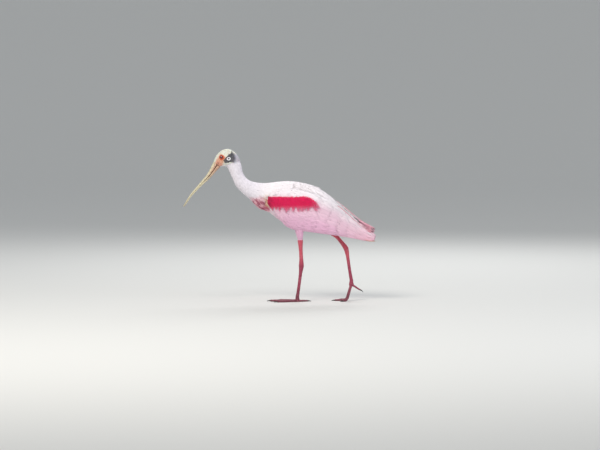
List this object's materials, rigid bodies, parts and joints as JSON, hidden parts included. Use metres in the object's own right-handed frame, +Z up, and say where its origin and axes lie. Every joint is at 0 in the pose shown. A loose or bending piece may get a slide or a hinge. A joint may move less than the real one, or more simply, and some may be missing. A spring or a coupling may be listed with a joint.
{
  "type": "roseate spoonbill",
  "caption": "Life-size wading bird in a still walking pose, head low, with a long spoon-shaped bill, folded wings with separate feathers, and long legs with spread toes",
  "frame": {"origin": "On the floor under the middle of the bird's bounding box: the middle of its length and breadth, at the level of its feet.", "axes": "+Z is up. The bird faces -X, so its left side is at -Y. The length from bill to tail runs along X."},
  "size_m": [0.5914, 0.1408, 0.4661],
  "materials": {
    "bare_head": "bare mottled skin, pale green grey with a black band and an orange face",
    "bill_horn": "horn and skin, cream with a pink base",
    "eye": "wet and glossy, dark red",
    "white_plumage": "short soft feathers, white with a lilac shade",
    "pink_plumage": "feathers, white to pink, carmine on the shoulder",
    "tail_plumage": "stiff feathers, orange buff",
    "leg_skin": "scaly skin, dull dark red",
    "claw_horn": "horn, near black"
  },
  "bodies": {
    "root": {"head": "bare_head", "eye_left": "eye", "eye_right": "eye", "bill_upper": "bill_horn", "bill_lower": "bill_horn", "neck_upper": "white_plumage", "neck_lower": "white_plumage", "torso": "pink_plumage", "tail": "tail_plumage", "wing_left": "pink_plumage", "wing_right": "pink_plumage", "thigh_left": "pink_plumage", "shank_left": "leg_skin", "tarsus_left": "leg_skin", "thigh_right": "pink_plumage", "shank_right": "leg_skin", "tarsus_right": "leg_skin", "foot_left": "leg_skin", "toe_left_inner": "leg_skin", "claw_left_inner": "claw_horn", "toe_left_middle": "leg_skin", "claw_left_middle": "claw_horn", "toe_left_outer": "leg_skin", "claw_left_outer": "claw_horn", "toe_left_hind": "leg_skin", "claw_left_hind": "claw_horn", "foot_right": "leg_skin", "toe_right_inner": "leg_skin", "claw_right_inner": "claw_horn", "toe_right_middle": "leg_skin", "claw_right_middle": "claw_horn", "toe_right_outer": "leg_skin", "claw_right_outer": "claw_horn", "toe_right_hind": "leg_skin", "claw_right_hind": "claw_horn"}
  },
  "joints": []
}
